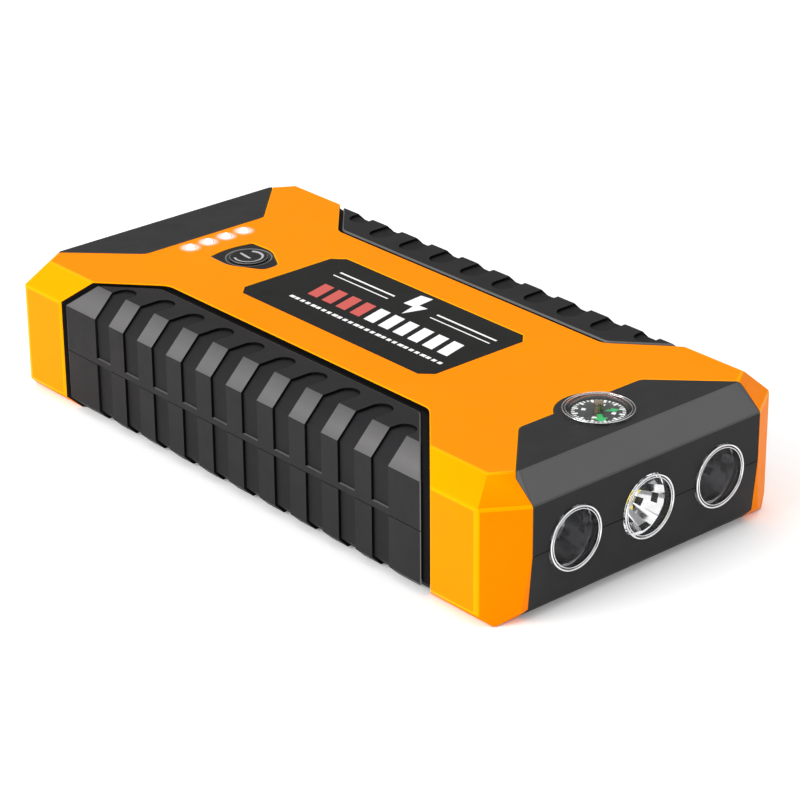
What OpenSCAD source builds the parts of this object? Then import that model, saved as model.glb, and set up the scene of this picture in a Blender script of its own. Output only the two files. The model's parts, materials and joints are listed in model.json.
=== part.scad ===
// Jump starter pack: a lithium power pack for starting a car, with three lamps and a compass
// at its front end.
// +Z is up and the front end, with the lamps, faces -Y. The origin is the middle of the footprint.

/* [Body] */
// Length over the end faces
body_l = 186.4; // [180:0.1:195]
// Width over the side faces
body_w = 94; // [90:0.1:98]
// Height of the flat top
body_h = 35.1; // [34:0.1:37]
// Width of each corner's slanted face, across the pack
corner_cut_x = 10.4; // [10.2:0.1:11]
// Width of each corner's slanted face, along the pack
corner_cut_y = 6.6; // [6.4:0.1:7.4]
// Bevel between the top and the upright faces
chamfer = 6; // [5:0.1:7]
// Height of the line where the two case halves meet
part_z = 16.5; // [16:0.1:17]
// How far the end faces lean in from that line down to the base
draft = 1.3; // [0.8:0.1:1.3]
// Bevel between the base and the side and end faces. The corners' slanted faces run past it as feet
foot = 3; // [2.6:0.1:3]
// How far the lamp lenses and the socket flap stand out of the end faces
proud = 1; // [0.8:0.1:1.2]

/* [Shells] */
// Thickness of the orange cover, and of the grips that fill its side openings
cover_t = 2; // [1.8:0.1:2.4]
// Thickness of the black case under them
case_t = 1.8; // [1.6:0.1:2]
// Seam between the cover and the ends of the case
seam = 0.12; // [0.1:0.01:0.2]

/* [Cover openings] */
// Half the width of the cover between the grips
waist_x = 27.9; // [27:0.1:29]
// Half the length of that narrow stretch
waist_y = 49.5; // [48:0.1:51]
// Corner radius of the grip openings
waist_r = 5; // [4:0.1:6]
// Where each grip opening ends on the side face
grip_end_y = 71.1; // [70:0.1:73]
// Half the width of each end opening at the end face
end_x = 36.5; // [35:0.1:37]
// Where the front opening starts on the top
front_y = 70.6; // [70:0.1:72]
// Where the rear opening starts on the top
rear_y = 70.6; // [70:0.1:72]
// Half the width of the straight inner edge of the end openings
end_in_x = 19.6; // [19:0.1:21]

/* [Grips] */
// How far the grips lie under the surface of the cover
grip_sink = 0.5; // [0.3:0.1:0.6]
// Channel round each grip
channel = 2; // [1.6:0.1:2.4]
// How much closer each grip comes to the rear end of its opening
grip_rear = 1.5; // [0.5:0.1:1.7]
// Depth of the channel's floor, a rim of the case, under the surface of the cover
channel_d = 1.1; // [0.8:0.1:1.4]
// Grooves on each side
groove_count = 10; // [8:1:11]
// Distance from groove to groove
groove_pitch = 11.85; // [11.6:0.05:12]
// Width of a groove
groove_w = 5.9; // [5:0.1:6.5]
// Depth of a groove
groove_d = 0.7; // [0.5:0.1:0.8]
// Where the grooves end on the top, from the middle of the pack
groove_in_x = 32.8; // [32:0.1:34]
// How much further out the groove at each end of a grip ends
end_groove_shift = 3.2; // [3:0.1:4]
// Height of the ledge above the parting line where the upper grooves end
groove_ledge = 1.6; // [1:0.1:2.5]

/* [Top fittings] */
// Half the width of the label plate
label_x = 17.1; // [15:0.1:18]
// Half the length of the label plate
label_y = 36.1; // [34:0.1:37]
// Corner cut of the label plate
label_cut = 3; // [2:0.1:4]
// Middle of the power button, across
button_x = -1.1; // [-2:0.1:0]
// Middle of the power button, along
button_y = 50.9; // [50.5:0.1:51.2]
// Radius of the power button
button_r = 5; // [4.6:0.1:5.2]
// Travel of the power button
button_travel = 0.6; // [0.4:0.1:0.8]
// Middle of the row of charge lights, across
lights_x = 0.6; // [0:0.1:1]
// Middle of the row of charge lights, along
lights_y = 66.3; // [65.8:0.1:66.5]
// Distance from charge light to charge light
lights_pitch = 5.9; // [5.5:0.1:6]

/* [Compass] */
// Middle of the compass, towards the front
compass_y = -76.4; // [-77:0.1:-76]
// Radius of the clear flange
compass_r = 8.67; // [8.5:0.01:8.8]
// Height of the clear dome over the top
dome_h = 3.8; // [3.4:0.1:4.2]
// Radius of the turning card
card_r = 6.5; // [6:0.1:6.6]
// Height of the card's upper face
card_z = 34.9; // [34.6:0.1:35]

/* [Lamps] */
// Distance from lamp to lamp
lamp_pitch = 23.3; // [23:0.1:24]
// Height of the lamps
lamp_z = 16.9; // [16.7:0.1:17.2]
// Radius of a lamp's clear flange
lamp_r = 8; // [7.8:0.05:8.1]
// Depth of a reflector
reflector_d = 7.6; // [7:0.1:8]

/* [Sockets] */
// Middle of the jump socket, across
jump_x = 24; // [23.5:0.1:24]
// Height of the jump socket's middle
jump_z = 16.7; // [16.5:0.1:16.9]
// Middle of the pair of USB sockets beside it, across
usb_x = 4.6; // [4.4:0.1:4.8]
// Distance to the next pair
usb_pitch = 15.2; // [15:0.1:15.4]
// Middle of the round charging socket, across
dc_x = -22.8; // [-23:0.1:-22.6]
// Distance to the round output socket
dc_pitch = 8.6; // [8.4:0.1:8.8]
// Travel of the voltage switch to each side
switch_travel = 2; // [1.5:0.1:2]

/* [Hidden] */
$fn = 48;
eps = 0.01;
half_l = body_l / 2;
half_w = body_w / 2;
inset_t = cover_t + case_t;
roof_z = body_h - inset_t;
shoulder_z = body_h - chamfer;
reach = 300;
lamp_places = [-1, 0, 1];
lamp_names = ["left", "middle", "right"];
// Compass
cup_r = 7.9;
cup_floor_z = 29.1;
capsule_r = 7;
pin_r = 0.5;
// Lamps
lens_t = 1.6;
bowl_min_r = 1.9;
// Button
flange_z = body_h - cover_t - 0.3;
board_top_z = 25.3;
board_t = 1.6;
plunger_r = 1.6;
plunger_z = 29.7;
guide_z = 28.7;
// Main board
main_top_z = 8.9;
main_y = [41, 88];
// Rear face
pocket_d = 1.2;
pocket_y = half_l - pocket_d;
jump_size = [20, 11.2];
jump_mouth = [17.6, 8.8];
contact_dx = 4.6;
contact_r = 2.8;
flap_size = [23, 13.6];
hinge_r = 0.75;
hinge_y = pocket_y;
barrel_r = 1.45;
hinge_z = jump_z + flap_size[1] / 2 + 1.9;
usb_size = [14.2, 15.4];
usb_mouth = [12.4, 5.1];
usb_level_dz = [3.9, 11.5];
dc_r = 2.75;
dc_collar_r = 3.7;
dc_z = 14.3;
dc_names = ["in", "out"];
switch_x = dc_x - dc_pitch / 2;
switch_z = 22.9;
switch_y = half_l - inset_t - 6;
knob = [3, 2];
slider = [4.8, 2.8];
// Battery
cell_size = [71, 100, 7.2];
cell_y = -15;
cell_z = 6.1;
cell_gap = 0.15;
cell_count = 3;
cell_end_y = cell_y + cell_size[1] / 2;
link_y = cell_end_y + 1.2;
bar_y = cell_end_y + 3.6;
bar_t = 1;
pole_names = ["positive", "negative"];
pole_x = [jump_x + contact_dx, jump_x - contact_dx];
contact_y = 76;
lead_r = 2.3;
// Fasteners
head_z = 2.4;
case_bosses = [[37.4, 74], [-37.4, 74], [37.4, -74], [-37.4, -74], [38.7, 0], [-38.7, 0]];
board_posts = [[30, 46], [-30, 46], [9.5, 73], [-21, 73]];
button_posts = [[-12, 44.5], [11, 44.5], [13.5, 58.5], [-15, 58.5]];
boss_r = 3;
post_r = 2.3;

// ---- Outlines ----

function unit(v) = v / norm(v);
function left_of(v) = [-v[1], v[0]];
function before(p, i) = p[(i + len(p) - 1) % len(p)];
function after(p, i) = p[(i + 1) % len(p)];

// Vertex b of an outline a, b, c that runs anticlockwise, moved in by g from both edges
function inset_corner(a, b, c, g) =
    let (n1 = left_of(unit(b - a)), n2 = left_of(unit(c - b)))
    b + g * (n1 + n2) / (1 + n1 * n2);

// Anticlockwise outline p with every edge moved in by g
function inset(p, g) = [for (i = [0:len(p) - 1]) inset_corner(before(p, i), p[i], after(p, i), g)];

// Arc of radius r that rounds corner b between a and c
function corner_arc(a, b, c, r, steps = 6) =
    let (
        u = unit(a - b),
        v = unit(c - b),
        half = acos(u * v) / 2,
        m = b + unit(u + v) * r / sin(half),
        from = b + u * r / tan(half) - m,
        start = atan2(from[1], from[0]),
        sweep = (cross(u, v) < 0 ? 1 : -1) * (180 - 2 * half)
    )
    [for (k = [0:steps]) m + r * [cos(start + sweep * k / steps), sin(start + sweep * k / steps)]];

// Outline p with corner i rounded to radius r[i]
function rounded(p, r) = [
    for (i = [0:len(p) - 1])
        each (r[i] == 0 ? [p[i]] : corner_arc(before(p, i), p[i], after(p, i), r[i]))
];

function rectangle(x, y) = [[-x, -y], [x, -y], [x, y], [-x, y]];

// Opening for the grip on the +X side, made smaller by g, its rear end moved back
function grip_outline(g, back = 0) = rounded(
    inset([
        [waist_x, -waist_y], [half_w, -grip_end_y], [half_w + 20, -grip_end_y],
        [half_w + 20, grip_end_y + back], [half_w, grip_end_y + back], [waist_x, waist_y + back]
    ], g),
    [waist_r - g, 0, 0, 0, 0, waist_r - g]
);

// Opening for one end of the case, at +Y, with its inner edge at y0
function end_outline(y0, g) = rounded(
    inset([
        [-end_in_x, y0], [end_in_x, y0], [end_x, y0 + (end_x - end_in_x)],
        [end_x, half_l + 20], [-end_x, half_l + 20], [-end_x, y0 + (end_x - end_in_x)]
    ], g),
    [3, 3, 1, 0, 0, 1]
);

// Shield round the power button, made smaller by g
function bezel_outline(g) = rounded(
    inset([
        [-7, 7.2], [-7.3, -0.6], [-2.4, -9.3], [2.4, -9.3], [7.3, -0.6], [7, 7.2], [0, 8.8]
    ], g),
    [0.8, 8, 2.6, 2.6, 8, 0.8, 20]
);

function label_outline(g) =
    let (x = label_x - g, y = label_y - g, c = label_cut)
    [
        [-x + c, -y], [x - c, -y], [x, -y + c], [x, y - c],
        [x - c, y], [-x + c, y], [-x, y - c], [-x, -y + c]
    ];

// ---- Outer form ----

// Footprint, anticlockwise, with its sides, its ends and its corners' slanted faces moved in by
// gx, gy and gf
function footprint(gx, gy, gf) =
    let (
        x = half_w - gx,
        y = half_l - gy,
        n = unit([corner_cut_y, corner_cut_x]),
        d = n * [half_w, half_l - corner_cut_y] - gf,
        xf = (d - n[1] * y) / n[0],
        yf = (d - n[0] * x) / n[1]
    )
    [[x, -yf], [x, yf], [xf, y], [-xf, y], [-x, yf], [-x, -yf], [-xf, -y], [xf, -y]];

// Heights of the form's corners, each with its footprint, for a form moved in by g
function form_levels(g, z0) =
    let (
        k = g * (sqrt(2) - 1),
        low = g + foot + k,
        base = footprint(low, low + draft, g == 0 ? 0 : low)
    )
    concat(
        z0 < 0 ? [[z0, base]] : [],
        [
            [0, base],
            [foot + k, footprint(g, g + draft, g)],
            [part_z, footprint(g, g, g)],
            [shoulder_z - k, footprint(g, g, g)],
            [body_h - g, footprint(chamfer + k, chamfer + k, chamfer + k)]
        ]
    );

// The pack's outer form with its faces moved in by g. Below 0, z0 carries it on down past the base
module form(g = 0, z0 = 0) {
    levels = form_levels(g, z0);
    n = len(levels[0][1]);
    points = [for (l = levels) for (p = l[1]) [p[0], p[1], l[0]]];
    sides = [
        for (l = [0:len(levels) - 2])
            for (i = [0:n - 1])
                let (j = (i + 1) % n)
                [l * n + i, (l + 1) * n + i, (l + 1) * n + j, l * n + j]
    ];
    base = [for (i = [0:n - 1]) i];
    roof = [for (i = [n - 1:-1:0]) (len(levels) - 1) * n + i];
    polyhedron(points, concat(sides, [base, roof]));
}

// Everything between two heights
module layer(z1, z2) {
    translate([-reach / 2, -reach / 2, z1])
        cube([reach, reach, z2 - z1]);
}

// An outline as a tall prism
module prism(outline, z1 = -1, z2 = 40) {
    translate([0, 0, z1])
        linear_extrude(height = z2 - z1)
            polygon(outline);
}

// Both end openings of the cover, with the round notch for the compass
module end_prisms(g) {
    prism(end_outline(rear_y, g));
    mirror([0, 1, 0])
        prism(end_outline(front_y, g));
    translate([0, compass_y, -1])
        cylinder(r = 10.4 - g, h = 41);
}

module rod(r, p, length, axis = "z") {
    translate(p)
        rotate(axis == "y" ? [-90, 0, 0] : axis == "x" ? [0, 90, 0] : [0, 0, 0])
            cylinder(r = r, h = length);
}

module block(p, size) {
    translate(p)
        cube(size);
}

// ---- Shells ----

module top_cover() {
    color("darkorange")
        difference() {
            form();
            form(cover_t, -5);
            prism(grip_outline(0));
            mirror([1, 0, 0])
                prism(grip_outline(0));
            end_prisms(0);
            prism(label_outline(0), body_h - 0.6);
            translate([button_x, button_y, 0])
                prism(bezel_outline(0));
            for (x = light_xs())
                rod(1.25, [x, lights_y, 20], 20);
        }
}

// Rim of the case that stands in the channel round the grip on the +X side
module channel_rim() {
    intersection() {
        form(channel_d);
        difference() {
            prism(grip_outline(seam));
            prism(grip_outline(channel - 0.1, grip_rear));
        }
    }
}

// Black solid of the case before it is hollowed
module case_solid() {
    intersection() {
        form();
        union() {
            form(cover_t, -5);
            end_prisms(seam);
            channel_rim();
            mirror([1, 0, 0])
                channel_rim();
        }
    }
}

module case_rods(r, z1, z2) {
    for (p = case_bosses)
        rod(r, [p[0], p[1], z1], z2 - z1);
}

// Block centred on x and z, as wide and high as size, from y1 to y2
module tunnel(x, z, size, y1, y2) {
    block([x - size[0] / 2, y1, z - size[1] / 2], [size[0], y2 - y1, size[1]]);
}

// Holes through both case halves at the ends
module end_holes() {
    wall_y = half_l - 9;
    out_y = half_l + 5;
    for (s = lamp_places)
        rod(lamp_r + 0.1, [s * lamp_pitch, -out_y, lamp_z], 15, "y");
    tunnel(jump_x, jump_z, flap_size + [0.8, 0.8], pocket_y, out_y);
    tunnel(jump_x, hinge_z - 2, [10.8, 8], pocket_y - 1.8, out_y);
    tunnel(jump_x, jump_z, jump_size + [0.2, 0.2], wall_y, out_y);
    for (i = [0, 1])
        tunnel(usb_x - i * usb_pitch, main_top_z + usb_size[1] / 2, usb_size + [0.4, 0.4], wall_y, out_y);
    for (i = [0, 1])
        rod(dc_collar_r + 0.1, [dc_x - i * dc_pitch, wall_y, dc_z], 14, "y");
    tunnel(switch_x, switch_z, knob + [2 * switch_travel + 0.4, 0.6], wall_y, out_y);
    rod(hinge_r, [jump_x - 8, hinge_y, hinge_z], 16, "x");
}

module case_upper() {
    color("#333336")
        difference() {
            union() {
                difference() {
                    case_solid();
                    form(inset_t, -5);
                }
                intersection() {
                    form(cover_t + 0.1);
                    case_rods(boss_r, part_z, roof_z + 1);
                }
                for (p = button_posts)
                    rod(post_r, [p[0], p[1], board_top_z], roof_z + 0.5 - board_top_z);
            }
            layer(-5, part_z);
            case_rods(1.25, part_z - 1, part_z + 9);
            for (p = button_posts)
                rod(0.85, [p[0], p[1], board_top_z - 1], 5);
            end_holes();
            rod(cup_r + 0.1, [0, compass_y, 20], 20);
            rod(button_r + 1, [button_x, button_y, 20], 20);
            for (x = light_xs())
                rod(1.25, [x, lights_y, 20], 20);
        }
}

module case_lower() {
    color("#2e2e31")
        difference() {
            union() {
                difference() {
                    case_solid();
                    difference() {
                        form(inset_t, -5);
                        layer(-6, case_t);
                    }
                }
                case_rods(boss_r, case_t / 2, part_z);
                for (p = board_posts)
                    rod(post_r, [p[0], p[1], case_t / 2], main_top_z - board_t - case_t / 2);
            }
            layer(part_z, 40);
            case_rods(1.6, -1, part_z + 1);
            case_rods(2.3, -1, head_z);
            for (p = board_posts)
                rod(0.85, [p[0], p[1], case_t + 0.2], 8);
            end_holes();
            prism(rounded(rectangle(26.2, 16.2), [2, 2, 2, 2]), -1, 0.6);
        }
}

// ---- Grips ----

// Plan of one groove on the +X side, closed by a round end
module groove_cut(y, z1) {
    r = groove_w / 2;
    x = groove_in_x + r + (abs(y) > waist_y ? end_groove_shift : 0);
    rod(r, [x, y, z1], 40);
    block([x, y - r, z1], [30, groove_w, 40]);
}

// One half of the grip on the +X side, between two heights, with grooves above height groove_z1
module grip(z1, z2, groove_z1) {
    difference() {
        intersection() {
            union() {
                difference() {
                    form(grip_sink);
                    for (i = [0:groove_count - 1])
                        groove_cut((i - (groove_count - 1) / 2) * groove_pitch, groove_z1);
                }
                form(grip_sink + groove_d);
            }
            prism(grip_outline(channel, grip_rear));
            layer(z1, z2);
        }
        form(cover_t, -5);
    }
}

module grip_upper() {
    color("#3c3b3e")
        grip(part_z + 0.1, 40, part_z + groove_ledge);
}

module grip_lower() {
    color("#38373a")
        grip(0.5, part_z - 0.1, -1);
}

// ---- Labels ----

module top_label() {
    color("#2b2c2a")
        prism(label_outline(0.15), body_h - 0.6, body_h - 0.1);
}

module rating_label() {
    color("silver")
        prism(rounded(rectangle(26, 16), [2, 2, 2, 2]), 0.25, 0.6);
}

// ---- Power button and charge lights ----

function light_xs() = [for (i = [-1.5:1:1.5]) lights_x + i * lights_pitch];

module button_bezel() {
    color("#202022")
        difference() {
            translate([button_x, button_y, 0])
                prism(bezel_outline(0.1), body_h - cover_t, body_h - 0.2);
            rod(button_r + 0.15, [button_x, button_y, 20], 20);
        }
}

module power_button() {
    color("#2a2a2c") {
        difference() {
            rod(button_r, [button_x, button_y, flange_z - 0.1], body_h + 0.2 - flange_z + 0.1);
            translate([button_x, button_y, body_h + 18.6])
                sphere(r = 18.8);
        }
        rod(button_r + 0.7, [button_x, button_y, flange_z - 0.8], 0.8);
        rod(1.4, [button_x, button_y, plunger_z], flange_z - plunger_z);
    }
}

module tact_plunger() {
    color("#1d1d1f")
        rod(plunger_r, [button_x, button_y, plunger_z - 2.4], 2.4);
}

module tact_switch() {
    color("#888a8e")
        difference() {
            block([button_x - 3, button_y - 3, board_top_z], [6, 6, 3.4]);
            rod(plunger_r + 0.06, [button_x, button_y, plunger_z - 2.4 - button_travel - 0.1], 6);
        }
}

module button_board() {
    color("darkgreen")
        difference() {
            prism([[-17.5, 42], [16, 42], [16, 69], [-17.5, 69]], board_top_z - board_t, board_top_z);
            for (p = button_posts)
                rod(1.1, [p[0], p[1], board_top_z - board_t - 1], board_t + 2);
        }
}

module charge_light_guide() {
    color("white") {
        for (x = light_xs())
            rod(1.15, [x, lights_y, guide_z], body_h + 0.1 - guide_z);
        block([light_xs()[0] - 1.6, lights_y - 1.4, guide_z - 1.2], [3 * lights_pitch + 3.2, 2.8, 1.4]);
    }
}

module charge_leds() {
    color("lightyellow")
        for (x = light_xs())
            block([x - 0.8, lights_y - 0.4, board_top_z], [1.6, 0.8, 0.7]);
}

// ---- Compass ----

module compass_cup() {
    color("#1c1c1e")
        difference() {
            rod(cup_r, [0, compass_y, cup_floor_z], body_h - cup_floor_z);
            rod(capsule_r, [0, compass_y, cup_floor_z + 1.6], 10);
        }
}

module compass_pivot() {
    color("#8a6a3c")
        rod(pin_r, [0, compass_y, cup_floor_z + 1.6], card_z - 0.6 - cup_floor_z - 1.6);
}

// The card hangs on the pin by the cap at its middle
module compass_card() {
    color("white")
        difference() {
            union() {
                rod(card_r, [0, compass_y, card_z - 0.6], 0.6);
                rod(1.15, [0, compass_y, card_z - 2], 4.4);
            }
            rod(pin_r + 0.08, [0, compass_y, card_z - 3], 3 - 0.5);
        }
}

// Cap of a ball, h high on a base of radius a
module ball_cap(a, h) {
    r = (a * a + h * h) / (2 * h);
    intersection() {
        translate([0, 0, h - r])
            sphere(r = r, $fn = 96);
        cylinder(r = a + 1, h = h + 1);
    }
}

module compass_dome() {
    color([0.9, 0.95, 1, 0.4])
        translate([0, compass_y, body_h])
            difference() {
                union() {
                    cylinder(r = compass_r, h = 0.7);
                    translate([0, 0, 0.5])
                        ball_cap(compass_r - 0.5, dome_h - 0.5);
                }
                translate([0, 0, 0.5])
                    ball_cap(capsule_r, dome_h - 1.3);
                translate([0, 0, -1])
                    cylinder(r = capsule_r, h = 1.5 + eps);
            }
}

// ---- Lamps ----

// Places a lamp piece drawn about +Z, its front face at z = 0, behind the front face of the pack
module at_lamp(s) {
    translate([s * lamp_pitch, -half_l, lamp_z])
        rotate([90, 0, 0])
            children();
}

module lamp_lens(s) {
    color([0.95, 0.97, 1, 0.35])
        at_lamp(s) {
            translate([0, 0, -lens_t])
                cylinder(r = lamp_r, h = lens_t + 0.3);
            translate([0, 0, 0.2])
                ball_cap(lamp_r - 0.9, proud - 0.2);
        }
}

// Radius of the reflector's bowl at depth t, from 0 at the mouth to 1 at the bottom
function bowl_r(t) = bowl_min_r + (lamp_r - 1.1 - bowl_min_r) * sqrt(1 - t);
function bowl(grow, steps = 8) =
    [for (i = [0:steps]) [bowl_r(i / steps) + grow, -lens_t - i / steps * reflector_d]];

module reflector(s) {
    color("silver")
        at_lamp(s)
            rotate_extrude()
                polygon(concat(
                    [[lamp_r, -lens_t]],
                    bowl(0),
                    [for (i = [8:-1:2]) bowl(0.6)[i]],
                    [[lamp_r, -lens_t - 1]]
                ));
}

module lamp_led(s) {
    color("gold")
        at_lamp(s)
            rod(bowl_min_r - 0.2, [0, 0, -lens_t - reflector_d - 1], 2.2);
}

module lamp_board() {
    color("white")
        difference() {
            block([-lamp_pitch - 9, -half_l + lens_t + reflector_d + 1, lamp_z - 6.5],
                [2 * lamp_pitch + 18, board_t, 13]);
            for (s = [-0.5, 0.5])
                rod(1.5, [s * lamp_pitch, -half_l, lamp_z], 30, "y");
        }
}

// ---- Battery ----

// Height of the middle of cell i, counted from the lowest
function cell_mid(i) = cell_z + cell_size[2] / 2 + i * (cell_size[2] + cell_gap);

// Pouch cell i with its two tabs. The outer tab of the lowest and of the highest cell reaches its bus bar
module cell(i) {
    color("silver") {
        tunnel(0, cell_mid(i), [cell_size[0], cell_size[2]], cell_end_y - cell_size[1], cell_end_y);
        for (pole = [0, 1])
            tunnel(pole_x[pole], cell_mid(i), [6, 0.3], cell_end_y - 1,
                (pole == 0 && i == cell_count - 1) || (pole == 1 && i == 0) ? bar_y : link_y);
    }
}

// The links that join the cells in a row, positive to negative
module cell_links() {
    color("orange")
        for (pole = [0, 1])
            tunnel(pole_x[pole], (cell_mid(pole) + cell_mid(pole + 1)) / 2,
                [6, cell_mid(1) - cell_mid(0) + 2],
                link_y, link_y + 0.6);
}

module bus_bar(pole) {
    color("orange")
        tunnel(pole_x[pole], (jump_z + cell_mid(pole == 0 ? cell_count - 1 : 0)) / 2,
            [6.6, cell_mid(1) - cell_mid(0) + 5], bar_y, bar_y + bar_t);
}

module lead(pole) {
    color(pole == 0 ? "firebrick" : "#222222")
        rod(lead_r, [pole_x[pole], bar_y + bar_t, jump_z], contact_y - bar_y - bar_t, "y");
}

module foam(z1, z2) {
    color("#55555a")
        block([-31, cell_y - 44, z1], [62, 88, z2 - z1]);
}

// ---- Circuit board ----

module main_board() {
    color("darkgreen")
        difference() {
            block([-34, main_y[0], main_top_z - board_t], [68, main_y[1] - main_y[0], board_t]);
            for (p = board_posts)
                rod(1.1, [p[0], p[1], main_top_z - board_t - 1], board_t + 2);
        }
}

module board_transistors() {
    color("#202022")
        for (i = [0:3])
            block([10 + 5.4 * i, 62, main_top_z], [4.6, 6, 2.3]);
}

module board_coils() {
    color("dimgray")
        for (x = [-24, -12])
            difference() {
                rod(4.6, [x, 54, main_top_z], 6.4);
                rod(1.6, [x, 54, main_top_z + 2], 10);
            }
}

module board_capacitors() {
    color("slateblue")
        for (x = [-26.5, -14, -4, 6])
            rod(3.1, [x, 64.5, main_top_z], 9);
}

// ---- Rear sockets ----

module jump_socket() {
    color("royalblue")
        difference() {
            tunnel(jump_x, jump_z, jump_size, contact_y, pocket_y);
            tunnel(jump_x, jump_z, jump_mouth, pocket_y - 6.4, pocket_y + 5);
            for (x = pole_x)
                rod(contact_r + 0.05, [x, contact_y - 5, jump_z], 15, "y");
        }
}

module jump_contact(pole) {
    color("gold")
        difference() {
            rod(contact_r, [pole_x[pole], contact_y, jump_z], 8, "y");
            rod(2.1, [pole_x[pole], contact_y + 1.5, jump_z], 20, "y");
        }
}

// The flap hangs on its pin and covers the jump socket. A finger groove runs along its lower edge
module socket_flap() {
    color("#303032")
        difference() {
            union() {
                tunnel(jump_x, jump_z, flap_size, pocket_y + 0.1, half_l + proud);
                tunnel(jump_x, (jump_z + hinge_z) / 2, [10, hinge_z - jump_z],
                    pocket_y + 0.1, half_l + 0.4);
                rod(barrel_r, [jump_x - 5, hinge_y, hinge_z], 10, "x");
            }
            rod(hinge_r + 0.06, [jump_x - 20, hinge_y, hinge_z], 40, "x");
            rod(1.2, [jump_x - 7, half_l + proud + 0.5, jump_z - flap_size[1] / 2 + 2.2], 14, "x");
        }
}

module flap_pin() {
    color("silver")
        rod(hinge_r - 0.02, [jump_x - 7.8, hinge_y, hinge_z], 15.6, "x");
}

// Steel shell round two USB sockets, one over the other
module usb_shell(i) {
    x = usb_x - i * usb_pitch;
    color("silver")
        difference() {
            tunnel(x, main_top_z + usb_size[1] / 2, usb_size, half_l - 17.4, half_l - 0.4);
            for (dz = usb_level_dz)
                tunnel(x, main_top_z + dz, usb_mouth, half_l - 15, half_l + 5);
        }
}

module usb_insulator(i) {
    color("white")
        for (dz = usb_level_dz)
            tunnel(usb_x - i * usb_pitch, main_top_z + dz + 1.1, [10.8, 1.8], half_l - 15, half_l - 1.4);
}

module dc_socket(i) {
    x = dc_x - i * dc_pitch;
    color("#1c1c1e") {
        difference() {
            union() {
                rod(dc_collar_r, [x, half_l - 12, dc_z], 11.6, "y");
                tunnel(x, main_top_z + 5.2, [7.8, 10.4], half_l - 14, half_l - inset_t - draft - 0.2);
            }
            rod(dc_r, [x, half_l - 11, dc_z], 20, "y");
        }
        rod(1, [x, half_l - 11.5, dc_z], 9.5, "y");
    }
}

module switch_body() {
    color("#1c1c1e")
        difference() {
            tunnel(switch_x, switch_z, [11.2, 6], switch_y, half_l - inset_t - 0.1);
            tunnel(switch_x, switch_z, slider + [2 * switch_travel + 0.4, 0.3], switch_y + 1.2, half_l);
        }
}

module voltage_switch() {
    color("whitesmoke") {
        tunnel(switch_x, switch_z, slider, switch_y + 1.4, half_l - inset_t - 0.3);
        difference() {
            tunnel(switch_x, switch_z, knob, half_l - inset_t - 1, half_l - 0.2);
            for (dx = [-0.8, 0, 0.8])
                tunnel(switch_x + dx, switch_z, [0.3, 5], half_l - 0.5, half_l);
        }
    }
}

// ---- Fasteners ----

// Cross-head screw drawn along +Z, its head's underside at z = 0
module screw(shank_r, length, head_r, head_h) {
    difference() {
        union() {
            translate([0, 0, -eps])
                cylinder(r = shank_r, h = length + eps);
            translate([0, 0, -head_h])
                cylinder(r = head_r, h = head_h);
        }
        for (a = [0, 90])
            rotate([0, 0, a])
                block([-head_r * 0.6, -0.3, -head_h - 1], [head_r * 1.2, 0.6, 1 + head_h * 0.6]);
    }
}

module case_screws() {
    color("gray")
        for (p = case_bosses)
            translate([p[0], p[1], head_z])
                screw(1.2, 20, 2.1, 1.5);
}

module board_screws() {
    color("gray") {
        for (p = board_posts)
            translate([p[0], p[1], main_top_z])
                mirror([0, 0, 1])
                    screw(0.8, 4, 1.8, 1.2);
        for (p = button_posts)
            translate([p[0], p[1], board_top_z - board_t])
                screw(0.8, 5, 1.8, 1.2);
    }
}

// ---- The pack ----

top_cover();
case_upper();
case_lower();
grip_upper();  // grip_right_upper
grip_lower();  // grip_right_lower
mirror([1, 0, 0]) grip_upper();  // grip_left_upper
mirror([1, 0, 0]) grip_lower();  // grip_left_lower
top_label();
rating_label();
button_bezel();
power_button();
tact_plunger();
tact_switch();
button_board();
charge_light_guide();
charge_leds();
compass_cup();
compass_pivot();
compass_card();
compass_dome();
for (s = lamp_places) {
    lamp_lens(s);
    reflector(s);
    lamp_led(s);
}
lamp_board();
for (i = [0:cell_count - 1])
    cell(i);
foam(cell_mid(cell_count - 1) + cell_size[2] / 2, roof_z);  // foam_top
foam(case_t, cell_z);  // foam_bottom
cell_links();
for (pole = [0, 1]) {
    bus_bar(pole);
    lead(pole);
    jump_contact(pole);
}
main_board();
board_transistors();
board_coils();
board_capacitors();
jump_socket();
socket_flap();
flap_pin();
for (i = [0, 1]) {
    usb_shell(i);
    usb_insulator(i);
    dc_socket(i);
}
switch_body();
voltage_switch();
case_screws();
board_screws();
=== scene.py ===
"""Looks of the jump starter pack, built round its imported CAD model.

Lengths are metres, and MM turns millimetres into them."""

import json
import math

import bmesh
import bpy
from mathutils import Matrix, Vector


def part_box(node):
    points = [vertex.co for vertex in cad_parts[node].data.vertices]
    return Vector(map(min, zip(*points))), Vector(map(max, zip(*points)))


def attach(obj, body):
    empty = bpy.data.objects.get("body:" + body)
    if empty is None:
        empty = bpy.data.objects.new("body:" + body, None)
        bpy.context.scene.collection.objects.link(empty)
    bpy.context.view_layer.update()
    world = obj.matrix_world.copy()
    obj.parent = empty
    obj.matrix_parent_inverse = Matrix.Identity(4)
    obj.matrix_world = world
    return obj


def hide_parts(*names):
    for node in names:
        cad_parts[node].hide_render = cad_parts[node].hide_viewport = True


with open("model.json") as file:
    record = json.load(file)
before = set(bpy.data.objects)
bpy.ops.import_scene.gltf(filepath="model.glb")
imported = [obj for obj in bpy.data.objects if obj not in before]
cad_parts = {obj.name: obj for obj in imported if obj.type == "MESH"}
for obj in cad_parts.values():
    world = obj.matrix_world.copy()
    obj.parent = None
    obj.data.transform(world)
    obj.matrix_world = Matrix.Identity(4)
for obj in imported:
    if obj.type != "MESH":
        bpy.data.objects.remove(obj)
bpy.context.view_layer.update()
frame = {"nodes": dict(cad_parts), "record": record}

MM = 0.001
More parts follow.
